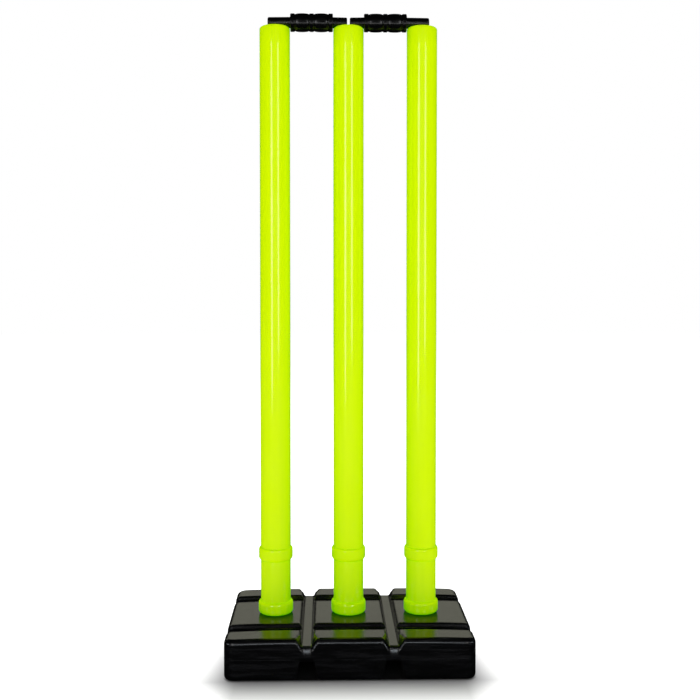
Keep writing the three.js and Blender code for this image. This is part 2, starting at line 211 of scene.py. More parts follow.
class WicketCollarSizes(bpy.types.PropertyGroup):
    """Sizes of the collars that hold the stumps."""

    wall: length("Wall", "Thickness of the collar's tube", 2.3)
    setback: length("Setback", "How much thinner the collar is than the stump", 0.1, 5)
    flange_height: length("Flange height", "Height of the flange on the base", 15.4)
    foot_round: length("Foot round", "Rounding at the flange's foot", 4)
    top_slope: length("Top slope", "Height of the flange's curved top", 4.2)
    barbs: count("Barbs", "Number of barbs on the lower spigot", 3)
    barb_pitch: length("Barb pitch", "Between two barbs", 8)
    barb_height: length("Barb height", "Height of one barb", 4.5)
    barb_reach: length("Barb reach", "How far a barb stands out", 0.6, 5)
    lead_in: length("Lead-in", "Height of the taper at the spigot's top", 3)
    tip_wall: length("Tip wall", "How far the taper draws in", 2)
    edge: length("Edge", "Rounding of the small edges", 0.3, 5)
    segments: count("Segments", "Steps round a collar", 144)


class WicketStumpSizes(bpy.types.PropertyGroup):
    """Sizes of the hollow stumps."""

    radius: length("Radius", "Radius of a stump", 18.3)
    wall: length("Wall", "Thickness of a stump's tube", 2.4)
    crown_width: length("Crown rounding, across", "Width of the crown's rounding", 3.4)
    crown_height: length("Crown rounding, down", "Height of the crown's rounding", 2.7)
    crown_turn: slope("Crown turn", "Where the crown's rounding stops at the tube", 25)
    dome_round: length("Dome round", "Rounding at the closed end of the bore", 5.6)
    crown_thickness: length("Crown thickness", "Thickness at the middle of the crown", 8.5)
    groove_gap: length("Groove gap", "Between a bail's spigot and its groove", 0.3, 5)
    groove_edge: length("Groove edge", "Rounding of the groove's edges", 0.8, 5)
    bead_foot: length("Bead foot", "Height of the bead's lower slope", 5)
    bead_turn: slope("Bead turn", "Where the bead's lower slope starts", 30)
    bead_band: length("Bead band", "Height of the bead's straight band", 7.2)
    bead_top: length("Bead top", "Height of the bead's upper slope", 3.4)
    bead_lip: length("Bead lip", "How far the lip stands out at the mouth", 0.4, 5)
    edge: length("Edge", "Rounding of the mouth's edges", 0.25, 5)
    tube_step: length("Tube step", "Between rings along the plain tube", 20)
    segments: count("Segments", "Steps round a stump", 192)


class WicketBailSizes(bpy.types.PropertyGroup):
    """Sizes of the turned bails."""

    spigot: length("Spigot radius", "Radius of the spigots", 6.6)
    taper: length("Spigot taper", "How much thinner a spigot's tip is", 0.3, 5)
    tip_round: length("Tip round", "Rounding of the spigots' tips", 1.6)
    long_spigot: length("Long spigot", "Length over the outer stump", 27.2)
    shoulder_gap: length("Shoulder gap", "Between the barrel and a stump", 0.5, 5)
    shoulder: length("Shoulder radius", "Radius where the barrel starts", 8.4)
    ring: length("Ring radius", "Radius of the turned rings", 10.8)
    ring_length: length("Ring length", "Length of the turned rings", 5.4)
    ring_edge: length("Ring edge", "Rounding of the rings' edges", 1)
    bulge: length("Bulge radius", "Radius of the two bulges", 11)
    neck: length("Neck radius", "Radius of the necks beside the bulges", 9.9)
    neck_length: length("Neck length", "Length of the necks", 0.9, 5)
    neck_round: length("Neck round", "Rounding at the foot of the necks", 0.35, 5)
    segments: count("Segments", "Steps round a bail", 96)


class WicketFinishes(bpy.types.PropertyGroup):
    """Colours and roughness of the materials."""

    neon: colour("Neon", "Main colour of the neon plastic", (0.68, 0.66, 0.0))
    neon_shade: colour("Neon shade", "Its colour in the thicker streaks", (0.65, 0.64, 0.0))
    # Painted light: a steady green glow standing in for the plastic's real fluorescence; it shines the same
    # in shade, so it also lifts the shaded lower parts.
    neon_painted_glow: colour("Neon light", "Light that the neon plastic gives by fluorescence", (0.0, 0.28, 0.0))
    neon_gloss: amount("Neon roughness", "Roughness of the neon plastic", 0.10)
    base_black: colour("Base black", "Main colour of the base", (0.0004, 0.0005, 0.0007))
    base_dust: colour("Base dust", "Colour of its dusty streaks", (0.0062, 0.0064, 0.0076))
    base_gloss: amount("Base roughness", "Roughness of the base", 0.21)
    bail_black: colour("Bail black", "Main colour of the bails", (0.0005, 0.0005, 0.0006))
    bail_wear: colour("Bail wear", "Colour of the bails where hands rub them", (0.0015, 0.0015, 0.0018))
    bail_gloss: amount("Bail roughness", "Roughness of the bails", 0.21)
    rubber: colour("Rubber", "Colour of the sealing ring", (0.014, 0.014, 0.014))
    sand: colour("Sand", "Colour of the sand", (0.42, 0.31, 0.18))
    sand_dark: colour("Dark sand", "Colour of its darker grains", (0.16, 0.105, 0.055))
    floor: colour("Floor", "Colour of the studio floor", (0.5, 0.5, 0.5))


class WicketStudio(bpy.types.PropertyGroup):
    """Camera and lights."""

    eye: FloatVectorProperty(
        name="Eye", description="Place of the camera", size=3, subtype="XYZ", unit="LENGTH",
        default=(-0.027, -1.2328, 0.4486),
    )
    turn: slope("Turn", "How far the camera turns to the right", 1.342)
    tilt: slope("Tilt", "How far the camera looks down", 1.706)
    lens: FloatProperty(
        name="Lens", description="Focal length on a 36 mm sensor", default=52.11, min=1, unit="CAMERA"
    )
    shift: FloatProperty(
        name="Shift", description="Upward shift of the view", default=-0.05, min=-1, max=1,
        subtype="FACTOR",
    )
    softbox_power: power("Softboxes", "Strength of each tall softbox in front", 24)
    strip_power: power("Base strip", "Strength of the low strip in front of the base", 2.8)
    bail_power: power("Bail strip", "Strength of the low strip in front of the bails", 1.7)
    side_power: power("Side strips", "Strength of the low strip on each side of the base", 5)
    panel_power: power("Back panel", "Strength of the panel that the base's top mirrors", 56)
    top_power: power("Top light", "Strength of the light overhead", 98)
    behind_power: power("Light behind", "Strength of the light behind and above", 50)
    fill_power: power("Fill light", "Strength of the even light from the front", 34)
    low_power: power("Low fill light", "Strength of the even light from low in front", 14)
    floor_glow: amount("Floor glow", "Light that the floor gives by itself away from the base", 1.0, 4)
    # Painted shadow: the floor's own light is held back near the base, so the floor round it is darker, most
    # of all in front; these reaches and the inset set how far that painted shadow spreads.
    painted_shadow_reach_front: length("Glow reach in front", "Way forwards over which the glow comes up", 82)
    painted_shadow_reach_side: length("Glow reach at the sides", "Way sideways over which the glow comes up", 70)
    painted_shadow_reach_back: length("Glow reach beside", "Way back along the base over which the glow comes up", 340)
    painted_shadow_inset: length("Glow inset", "How far inside the base's sides the glow starts", 14)
    sky: amount("Sky", "Brightness of the surroundings in reflections", 0.008)
    backdrop: amount("Backdrop", "Brightness of the surroundings behind the object", 1.0, 4)


def refine(marks, step, digits=7, slack=1e-6):
    """Grid lines: every mark, and the gaps between marks divided evenly into steps no wider than step."""
    marks = np.unique(np.round(marks, digits))
    gaps = [
        np.linspace(low, high, int(np.ceil((high - low) / step - slack)), endpoint=False)
        for low, high in zip(marks[:-1], marks[1:])
    ]
    return np.append(np.concatenate(gaps), marks[-1])


def arc(centre, size, start, end, steps=3):
    """Points of an arc: the centre plus the size times the cosine and sine of a turn.

    The size is a radius, or the two half axes of an ellipse.
    """
    turn = np.linspace(start, end, steps + 1)
    return np.array(centre) + np.array(size) * np.stack([np.cos(turn), np.sin(turn)], -1)


def outline(*stretches):
    """One profile from single points and arrays of points, in order."""
    return np.concatenate([np.reshape(stretch, (-1, 2)) for stretch in stretches])


def turned(profile, segments):
    """Surface of revolution: a profile of (radius, height) points carried round the Z axis."""
    turn = np.arange(segments) * 2 * np.pi / segments
    radius, height = profile[:, :1], profile[:, 1:]
    return np.stack(np.broadcast_arrays(radius * np.cos(turn), radius * np.sin(turn), height), -1)


def grid_faces(rows, columns, wrap, keep=None):
    """Corner numbers of the four-sided faces between the rows and columns of a grid."""
    across = columns if wrap else columns - 1
    row, column = np.meshgrid(np.arange(rows - 1), np.arange(across), indexing="ij")
    beside = (column + 1) % columns
    corners = np.stack(
        [row * columns + column, row * columns + beside,
         (row + 1) * columns + beside, (row + 1) * columns + column], -1,
    )
    return corners.reshape(-1, 4) if keep is None else corners[keep]


def closed_mesh(name, sheets, sharp_degrees=38):
    """Welds sheets of points into one closed mesh whose faces point outwards.

    A sheet is (points, wrap, keep): points in rows and columns, whether the last column joins the
    first one, and which faces are kept, or None for all of them.
    """
    points, faces, start = [], [], 0
    for sheet, wrap, keep in sheets:
        rows, columns = sheet.shape[:2]
        points.append(sheet.reshape(-1, 3))
        faces.append(grid_faces(rows, columns, wrap, keep) + start)
        start += rows * columns
    mesh = bpy.data.meshes.new(name)
    mesh.from_pydata(np.concatenate(points), [], np.concatenate(faces))
    work = bmesh.new()
    work.from_mesh(mesh)
    bmesh.ops.remove_doubles(work, verts=work.verts, dist=WELD_DISTANCE)
    bmesh.ops.recalc_face_normals(work, faces=work.faces)
    open_edges = sum(not edge.is_manifold for edge in work.edges)
    if open_edges:
        raise RuntimeError(f"{name} has {open_edges} edges that don't close")
    if work.calc_volume(signed=True) < 0:
        bmesh.ops.reverse_faces(work, faces=work.faces)
    work.to_mesh(mesh)
    work.free()
    mesh.shade_smooth()
    mesh.set_sharp_from_angle(angle=np.radians(sharp_degrees))
    return mesh


def add_piece(name, sheets, finish, body, slot, *nodes):
    """Puts a welded mesh into the scene in place of frame nodes, riding on a body."""
    mesh = closed_mesh(name, sheets)
    mesh.materials.append(finish)
    piece = bpy.data.objects.new(name, mesh)
    bpy.context.scene.collection.objects.link(piece)
    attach(piece, body)
    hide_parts(*nodes)


def smooth_max(first, second, blend):
    """The larger of two heights, with the crease where they cross rounded over a blend."""
    overlap = np.maximum(blend - np.abs(first - second), 0)
    return np.maximum(first, second) + overlap**2 / (4 * np.maximum(blend, TINY))


class Groove:
    """The section of a groove: floor, rounded corner, sloping wall and rounded shoulder."""

    def __init__(self, floor, depth, wall_slope, shoulder, corner, least, offset):
        """Takes the section's sizes, grown sideways by an offset for the inside of a wall."""
        self.floor, self.depth, self.slope = floor, depth, wall_slope
        self.shoulder = max(shoulder - offset, least)
        self.corner = corner + offset
        rounds = (self.shoulder + self.corner) * (1 - np.cos(wall_slope))
        self.wall_width = (depth - rounds) / np.tan(wall_slope)
        self.corner_width = self.corner * np.sin(wall_slope)
        self.shoulder_width = self.shoulder * np.sin(wall_slope)

    def marks(self):
        """Distances from the centre line where the section changes from one form to the next."""
        widths = [self.floor, self.corner_width, self.wall_width, self.shoulder_width]
        return np.cumsum(widths)

    def cut(self, distance):
        """Depth at a distance from the centre line: the full depth, less what each form rises."""
        past = np.abs(distance) - self.floor
        edge = self.corner_width + self.wall_width + self.shoulder_width
        on_corner = np.clip(past, 0, self.corner_width)
        on_wall = np.clip(past - self.corner_width, 0, self.wall_width)
        to_edge = np.clip(edge - past, 0, self.shoulder_width)
        corner_rise = self.corner - np.sqrt(self.corner**2 - on_corner**2)
        wall_rise = on_wall * np.tan(self.slope)
        shoulder_rise = np.sqrt(self.shoulder**2 - to_edge**2) - self.shoulder * np.cos(self.slope)
        return self.depth - corner_rise - wall_rise - shoulder_rise


class BaseSkin:
    """One skin of the base: its outside, or its inside when drawn in by a wall."""

    def __init__(self, sizes, inset, step):
        """Takes the base's sizes, how far the skin lies inside the outline, and its fine grid step."""
        self.sizes, self.inset = sizes, inset
        least = sizes.least_fillet
        self.channel = Groove(
            sizes.channel_floor, sizes.channel_depth, sizes.channel_slope,
            sizes.channel_shoulder, sizes.channel_corner, least, inset,
        )
        self.mouth = Groove(
            sizes.mouth_floor, sizes.channel_depth, sizes.mouth_slope,
            sizes.mouth_round, sizes.mouth_round, least, inset,
        )
        self.groove = Groove(
            sizes.groove_floor, sizes.groove_depth, sizes.groove_slope,
            sizes.groove_shoulder, sizes.groove_corner, least, inset,
        )
        self.tunnel = Groove(
            sizes.tunnel_floor, sizes.tunnel_depth, sizes.tunnel_slope,
            sizes.tunnel_shoulder, sizes.tunnel_corner, least, inset,
        )
        self.scoop = Groove(
            sizes.scoop_floor, sizes.channel_depth, sizes.scoop_slope,
            sizes.scoop_corner, sizes.scoop_corner, least, inset,
        )
        self.channel_place = sizes.channel_spacing / 2
        self.groove_place = sizes.groove_spacing / 2
        self.low, self.high = inset, BASE_TOP - inset
        self.half = np.array([reach("base_shell", 0), reach("base_shell", 1)])
        self.x_lines = self.lines_across(step)
        self.y_lines = self.lines_along(step)

    def lines_across(self, step):
        """Grid lines in X: fine across the channels, coarse elsewhere, with a line at each patch's edge."""
        sizes, limit = self.sizes, self.half[0] - self.sizes.corner
        sections = (self.channel, self.mouth, self.tunnel)
        spread = np.concatenate([[0], *[section.marks() for section in sections]])
        fine = refine(self.channel_place + np.concatenate([-spread, spread]), step)
        wells = [STUMP_PITCH - sizes.well_patch, STUMP_PITCH + sizes.well_patch, STUMP_PITCH]
        plain = [0, sizes.pocket_patch, sizes.well_patch, *wells, limit]
        marks = np.concatenate([plain, fine])
        return refine(np.concatenate([-marks, marks]), sizes.coarse_step)

    def lines_along(self, step):
        """Grid lines in Y: fine across the grooves, coarse elsewhere."""
        sizes, limit = self.sizes, self.half[1] - self.sizes.corner
        spread = np.concatenate([[0], self.groove.marks()])
        fine = refine(self.groove_place + np.concatenate([-spread, spread]), step)
        marks = np.concatenate([[0, sizes.well_patch, limit], fine])
        return refine(np.concatenate([-marks, marks]), sizes.coarse_step)

    def sag(self, x):
        """How far the top falls away towards its ends: the crown times the fourth power of the way out."""
        return self.sizes.crown * (x / self.half[0]) ** 4

    def top_cut(self, x, y):
        """Depth of the top's channels and grooves, rounded where they cross, and of its crown.

        Towards its two ends a channel's section goes over to that of its open mouth, as a soft step.
        """
        across = np.abs(x) - self.channel_place
        way = np.clip(1 - (self.half[1] - np.abs(y)) / self.sizes.mouth_length, 0, 1)
        share = way**2 * (3 - 2 * way)
        channel = (1 - share) * self.channel.cut(across) + share * self.mouth.cut(across)
        groove = self.groove.cut(np.abs(y) - self.groove_place)
        blend = np.minimum(np.minimum(channel, groove), self.sizes.blend)
        return smooth_max(channel, groove, blend) + self.sag(x)

    def under_cut(self, x):
        """Height of the underside's channels."""
        return self.tunnel.cut(np.abs(x) - self.channel_place)

    def scoop_cut(self, x, z):
        """How far a scoop reaches in from the front or back face.

        Its floor starts upright at its foot and leans in more and more, as a parabola does, up to
        the full lean at the channel's floor, and its section lifts it off that floor.
        """
        sizes = self.sizes
        foot = BASE_TOP - sizes.scoop_drop
        height = sizes.scoop_drop - sizes.channel_depth
        lift = self.scoop.depth - self.scoop.cut(np.abs(x) - self.channel_place)
        lean = (z - foot) * np.abs(z - foot) / (2 * height) * np.tan(sizes.scoop_lean)
        return lean + (self.inset - lift) / np.cos(sizes.scoop_lean)

    def seam(self, z):
        """How far the outside lies behind the parting line: the full stand, less a bell curve round it."""
        if self.inset:
            return np.zeros_like(z)
        sizes = self.sizes
        near = np.exp(-(((z - sizes.seam_height) / sizes.seam_half) ** 2))
        return sizes.seam_stand * (1 - near)

    def perimeter(self):
        """Points round the inner rectangle and the outward direction at each, anticlockwise.

        A corner repeats its point while the direction turns through a quarter.
        """
        x, y = self.x_lines, self.y_lines
        corner_steps = 10
        sides = [
            (np.stack([x, np.full_like(x, y[0])], -1), -QUARTER),
            (np.stack([np.full_like(y, x[-1]), y], -1), 0),
            (np.stack([x[::-1], np.full_like(x, y[-1])], -1), QUARTER),
            (np.stack([np.full_like(y, x[0]), y[::-1]], -1), 2 * QUARTER),
        ]
        places, turns = [], []
        for side, turn in sides:
            fan = turn + QUARTER * np.arange(1, corner_steps) / corner_steps
            places += [side, np.repeat(side[-1:], corner_steps - 1, axis=0)]
            turns += [np.full(len(side), turn), fan]
        turns = np.concatenate(turns)
        return np.concatenate(places), np.stack([np.cos(turns), np.sin(turns)], -1)

    def levels(self):
        """Nominal heights of the side's rings, with a line at each edge of the pocket's patch."""
        sizes = self.sizes
        zone_share, seam_steps = 8 / 3, 8
        zone = zone_share * sizes.seam_half
        centre = sizes.seam_height
        seam = np.linspace(centre - zone, centre + zone, seam_steps + 1)
        patch = [centre - sizes.pocket_patch, centre + sizes.pocket_patch]
        ends = [sizes.foot_fillet, BASE_TOP - sizes.top_fillet]
        scoop_foot = BASE_TOP - sizes.scoop_drop
        scoop = [scoop_foot, (scoop_foot + ends[1]) / 2]
        return refine([*ends, *patch, *seam, *scoop], sizes.side_step), seam[0], seam[-1]

    def side_heights(self, foot, top):
        """Heights of the side's rings at each point of the perimeter, between its foot and its top edge.

        The stretch round the parting line keeps its height where it can, and is pushed up over a tunnel.
        """
        levels, seam_low, seam_high = self.levels()
        levels = levels[:, None]
        low = np.maximum(seam_low, foot + self.sizes.seam_half)
        high = low + seam_high - seam_low
        below = np.clip((levels - levels[0]) / (seam_low - levels[0]), 0, 1)
        within = np.clip((levels - seam_low) / (seam_high - seam_low), 0, 1)
        above = np.clip((levels - seam_high) / (levels[-1] - seam_high), 0, 1)
        return foot + below * (low - foot) + within * (high - low) + above * (top - high)

    def rings(self):
        """Rings from the top's inner rectangle, over the edge, down the side and under to the foot's.

        A ring lies at an inset from the outline. The height is the plain top or underside, with its
        grooves, less or plus the drop of a quarter round that starts at the fillet's centre.
        """
        sizes = self.sizes
        top_shares, foot_shares, round_steps = (1, 0.8, 0.65), (1, 0.7), 8
        place, outward = self.perimeter()
        top_radius = sizes.top_fillet - self.inset
        foot_radius = sizes.foot_fillet - self.inset
        bend = np.linspace(0, QUARTER, round_steps + 1)[1:]
        foot_bend = bend[1::2]

        def quarter_round(corner_shares, fillet, radius, bend):
            """Insets and drops of rings: flat ones first, then the sine and cosine of a bend."""
            flat = [*(share * sizes.corner for share in corner_shares), fillet]
            insets = np.concatenate([flat, fillet - radius * np.sin(bend)])
            return insets, np.concatenate([np.zeros(len(flat)), radius * (1 - np.cos(bend))])

        def across(insets):
            """The perimeter's points, moved outwards by the corner's radius less each inset."""
            return place + outward * (sizes.corner - insets[:, None, None])

        top_insets, top_drops = quarter_round(top_shares, sizes.top_fillet, top_radius, bend)
        foot_insets, foot_rises = quarter_round(foot_shares, sizes.foot_fillet, foot_radius, foot_bend)
        top_flat = across(top_insets)
        top_z = self.high - self.top_cut(top_flat[..., 0], top_flat[..., 1]) - top_drops[:, None]
        foot_flat = across(foot_insets)
        foot_z = self.low + self.under_cut(foot_flat[..., 0]) + foot_rises[:, None]
        side_z = self.side_heights(foot_z[-1], top_z[-1])[::-1][1:-1]
        side_insets = np.full(len(side_z), self.inset)
        insets = np.concatenate([top_insets, side_insets, foot_insets[::-1]])[:, None]
        heights = np.concatenate([top_z, side_z, foot_z[::-1]])
        scooped = smooth_max(insets, self.scoop_cut(place[:, 0], heights), sizes.rim)
        insets = np.where(np.abs(outward[:, 1]) > 1 - TINY, scooped, insets)
        insets = insets + self.seam(heights) * (1 - insets / sizes.corner)
        flat = place + outward * (sizes.corner - insets[..., None])
        return np.concatenate([flat, heights[..., None]], -1)

    def flat_sheet(self, upper):
        """The top or the underside within the inner rectangle: a height over a grid in X and Y."""
        x, y = np.meshgrid(self.x_lines, self.y_lines, indexing="ij")
        z = self.high - self.top_cut(x, y) if upper else self.low + self.under_cut(x)
        centre_x = (self.x_lines[1:] + self.x_lines[:-1]) / 2
        centre_y = (self.y_lines[1:] + self.y_lines[:-1]) / 2
        half = self.sizes.well_patch
        near_x = np.min([np.abs(centre_x - place) for place in STUMP_PLACES.values()], axis=0) < half
        near_y = np.abs(centre_y) < half
        return np.stack([x, y, z], -1), False, ~(near_x[:, None] & near_y)

    def ring_sheet(self):
        """The rings as a sheet, with the faces left out where the filler's pocket goes."""
        rings = self.rings()
        corners = [rings[:-1], rings[1:], np.roll(rings, -1, axis=1)[:-1], np.roll(rings, -1, axis=1)[1:]]
        centre = sum(corners) / 4
        half = self.sizes.pocket_patch
        on_back = centre[..., 1] > self.half[1] - self.sizes.corner / 2
        inside = (np.abs(centre[..., 0]) < half) & (np.abs(centre[..., 2] - self.sizes.seam_height) < half)
        return rings, True, ~(on_back & inside)

    def well_loop(self, place):
        """Points round the flat square about a well."""
        half = self.sizes.well_patch
        across = self.x_lines[np.abs(self.x_lines - place) < half + LINE_TOLERANCE]
        along = self.y_lines[np.abs(self.y_lines) < half + LINE_TOLERANCE]
        return square_loop(across, along)

    def pocket_loop(self):
        """Points round the flat square about the filler's pocket, as X and Z."""
        half = self.sizes.pocket_patch
        levels = self.levels()[0]
        across = self.x_lines[np.abs(self.x_lines) < half + LINE_TOLERANCE]
        upward = levels[np.abs(levels - self.sizes.seam_height) < half + LINE_TOLERANCE]
        return square_loop(across, upward)


def square_loop(first, second):
    """Points round a rectangle of grid lines, anticlockwise, each corner once."""
    def side(a, b):
        """Points along one side, from a run of numbers and the one that stays the same."""
        return np.stack(np.broadcast_arrays(a, b), -1)

    return np.concatenate([
        side(first[:-1], second[0]), side(first[-1], second[:-1]),
        side(first[:0:-1], second[-1]), side(first[0], second[:0:-1]),
    ])


def hole_sheet(loop, centre, profile, level, end_level=None, steps=4):
    """A sheet from a square loop in to a circle, along a round profile, and back out to the square if asked.

    Between the square and the circle each point moves straight along its own ray. The profile gives
    a radius and a level for each round ring on the same rays.
    """
    ray = loop - centre
    distance = np.linalg.norm(ray, axis=1)
    unit = ray / distance[:, None]
    share = np.linspace(0, 1, steps + 1)[:-1, None]

    def patch(radius, from_level, to_level):
        """Distances and levels in even shares of the way from the square to the circle."""
        radii = distance * (1 - share) + radius * share
        return radii, from_level * (1 - share) + to_level * share

    radii, levels = patch(profile[0, 0], level, profile[0, 1])
    rows = [(radii, levels), (profile[:, :1] + 0 * distance, profile[:, 1:] + 0 * distance)]
    if end_level is not None:
        radii, levels = patch(profile[-1, 0], end_level, profile[-1, 1])
        rows.append((radii[::-1], levels[::-1]))
    radii = np.concatenate([row[0] for row in rows])
    levels = np.concatenate([row[1] + 0 * distance for row in rows])
    return centre + unit * radii[..., None], levels


def upright(sheet):
    """Places a hole's sheet on the top or the underside: the loop lies in X and Y, the level is Z."""
    flat, levels = sheet
    return np.concatenate([flat, levels[..., None]], -1), True, None


def in_back(sheet):
    """Places a hole's sheet in the back face: the loop lies in X and Z, the level is Y."""
    flat, levels = sheet
    return np.stack([flat[..., 0], levels, flat[..., 1]], -1), True, None


def base_sheets(sizes):
    """The base's outside and inside, joined through the filler's neck."""
    outer = BaseSkin(sizes, 0.0, sizes.fine_step)
    inner = BaseSkin(sizes, sizes.wall, sizes.inner_step)
    sheets = []
    for skin in (outer, inner):
        sheets += [skin.flat_sheet(True), skin.flat_sheet(False), skin.ring_sheet()]
    rim, wall = sizes.rim, sizes.wall
    well_z = BASE_TOP - sizes.well_depth
    dimple_z = well_z - sizes.well_floor
    well = outline(
        arc((sizes.well_radius + rim, BASE_TOP - rim), rim, QUARTER, 2 * QUARTER),
        arc((sizes.well_radius - rim, well_z + rim), rim, 0, -QUARTER),
        (sizes.well_radius / 2, well_z), (0, well_z),
    )
    dimple = outline(
        arc((sizes.dimple_foot + rim, rim), rim, -QUARTER, -2 * QUARTER),
        arc((sizes.dimple_top - rim, dimple_z - rim), rim, 0, QUARTER),
        (sizes.dimple_top / 2, dimple_z), (0, dimple_z),
    )
    foot_wall = sizes.dimple_foot + wall
    column = outline(
        (sizes.well_radius + wall, inner.high), (sizes.well_radius + wall, dimple_z),
        (sizes.dimple_top + wall, dimple_z), (foot_wall, inner.low),
    )
    for place in STUMP_PLACES.values():
        centre = np.array([place, 0])
        outer_loop, inner_loop = outer.well_loop(place), inner.well_loop(place)
        inner_high = inner.high - inner.sag(inner_loop[:, 0])
        sheets += [
            upright(hole_sheet(outer_loop, centre, well, outer.high - outer.sag(outer_loop[:, 0]))),
            upright(hole_sheet(outer_loop, centre, dimple, outer.low)),
            upright(hole_sheet(inner_loop, centre, column, inner_high, inner.low)),
        ]
    back = outer.half[1]
    floor = back - sizes.pocket_depth
    neck_end = floor - wall - sizes.neck_length
    neck = sizes.neck_bore
    outside = neck + wall
    pocket_side = sizes.pocket_radius + sizes.pocket_wall
    mouth = back - sizes.seam_stand
    pocket = outline(
        arc((sizes.pocket_radius + rim, mouth - rim), rim, QUARTER, 2 * QUARTER),
        arc((sizes.pocket_radius - rim, floor + rim), rim, 0, -QUARTER),
        arc((neck + rim, floor - rim), rim, QUARTER, 2 * QUARTER),
        arc((neck + rim, neck_end + rim), rim, 2 * QUARTER, 3 * QUARTER),
        arc((outside - rim, neck_end + rim), rim, -QUARTER, 0),
        (outside, floor - wall), (pocket_side, floor - wall), (pocket_side, back - wall),
    )
    loop = outer.pocket_loop()
    face = back - outer.seam(loop[:, 1])
    centre = np.array([0, sizes.seam_height])
    sheets.append(in_back(hole_sheet(loop, centre, pocket, face, back - wall, steps=2)))
    return sheets


def cap_sheets(sizes, neck_bore):
    """The filler cap: a scalloped flange with a grip across it, over a hollow stem.

    The face is a height over rings round the centre. A ring's radius is drawn in at each scallop,
    and the grip is the product of two soft steps, across its width and along its length.
    """
    low_y, high_y = extent("filler_cap", 1)
    flange_radius = reach("filler_cap", 0)
    face = extent("cap_seal", 1)[1] + FIT_GAP
    turn = np.arange(sizes.segments) * 2 * np.pi / sizes.segments
    wave = np.maximum(np.cos(sizes.scallops * (turn + np.pi / sizes.scallops)), 0) ** 2
    edge_radius = flange_radius - sizes.scallop_depth * wave
    radii = np.linspace(0, 1, sizes.rows)[:, None] * (edge_radius - sizes.edge)
    x, z = radii * np.cos(turn), radii * np.sin(turn)
    grip_half = flange_radius - sizes.grip_inset
    top = face + sizes.flange

    def step(distance, half):
        """A soft step: one within the half width, nothing outside it, a cubic between."""
        share = np.clip((half - np.abs(distance)) / sizes.grip_round + 0.5, 0, 1)
        return share * share * (3 - 2 * share)

    grip = (high_y - top) * step(z, sizes.grip_width / 2) * step(x, grip_half - sizes.grip_round)
    front = np.stack([x, top + grip, z], -1)
    bend = np.linspace(0, QUARTER, 6)[1:, None]
    rounded = edge_radius - sizes.edge + sizes.edge * np.sin(bend)
    drop = top - sizes.edge * (1 - np.cos(bend))
    stem = neck_bore - FIT_GAP
    bore = stem - sizes.stem_wall
    levels = [face, face, low_y, low_y, face + sizes.flange / 2, face + sizes.flange / 2]
    behind = [edge_radius, *(radius + 0 * turn for radius in (stem, stem, bore, bore, 0))]
    radii = np.concatenate([rounded, behind])
    height = np.concatenate([drop + 0 * turn, np.array(levels)[:, None] + 0 * turn])
    rear = np.stack([radii * np.cos(turn), height, radii * np.sin(turn)], -1)
    sheet = np.concatenate([front, rear])
    sheet[..., 2] += middle("filler_cap", 2)
    return [(sheet, True, None)]


def seal_sheets(sizes, neck_bore):
    """The sealing ring: a flat ring whose section has rounded corners."""
    low, high = extent("cap_seal", 1)
    rim = reach("cap_seal", 0)
    soft = sizes.seal_round
    centres = [(rim - soft, high - soft, 0), (neck_bore + soft, high - soft, 1),
               (neck_bore + soft, low + soft, 2), (rim - soft, low + soft, 3)]
    section = outline(*[
        arc((x, y), soft, i * QUARTER, (i + 1) * QUARTER, steps=4) for x, y, i in centres
    ])
    ring = turned(np.concatenate([section, section[:1]]), sizes.segments)
    sheet = np.stack([ring[..., 0], ring[..., 2], ring[..., 1] + middle("cap_seal", 2)], -1)
    return [(sheet, True, None)]


def collar_sheets(sizes, stump, well_radius, place):
    """A collar: barbed spigot, flange with a round foot and a curved top, tube, and upper spigot."""
    name = "holder_middle"
    foot, tip = extent(name, 2)
    flange_radius = reach(name, 0)
    tube = stump.radius - sizes.setback
    upper = stump.radius - stump.wall - FIT_GAP
    barb = well_radius - FIT_GAP
    root = barb - sizes.barb_reach
    bore = min(root, upper - sizes.tip_wall) - sizes.wall
    seat = BASE_TOP + FIT_GAP
    shoulder = MOUTH - FIT_GAP
    stand = flange_radius - tube
    slope_foot = seat + sizes.flange_height - sizes.top_slope
    edge = sizes.edge
    barbs = [
        [(root, z), (barb - edge, z + sizes.barb_height - edge), (barb, z + sizes.barb_height),
         (root, z + sizes.barb_height)]
        for z in foot + sizes.barb_pitch * np.arange(sizes.barbs)
    ]
    flange_foot = (flange_radius - sizes.foot_round, seat + sizes.foot_round)
    profile = outline(
        (bore, foot), *barbs, (root, seat),
        arc(flange_foot, sizes.foot_round, -QUARTER, 0, steps=10),
        arc((tube, slope_foot), (stand, sizes.top_slope), 0, QUARTER, steps=10),
        arc((tube - edge, shoulder - edge), edge, 0, QUARTER),
        (upper, shoulder), (upper, tip - sizes.lead_in), (upper - sizes.tip_wall, tip),
        (bore, tip), (bore, foot),
    )
    sheet = turned(profile, sizes.segments)
    sheet[..., 0] += place
    return [(sheet, True, None)]


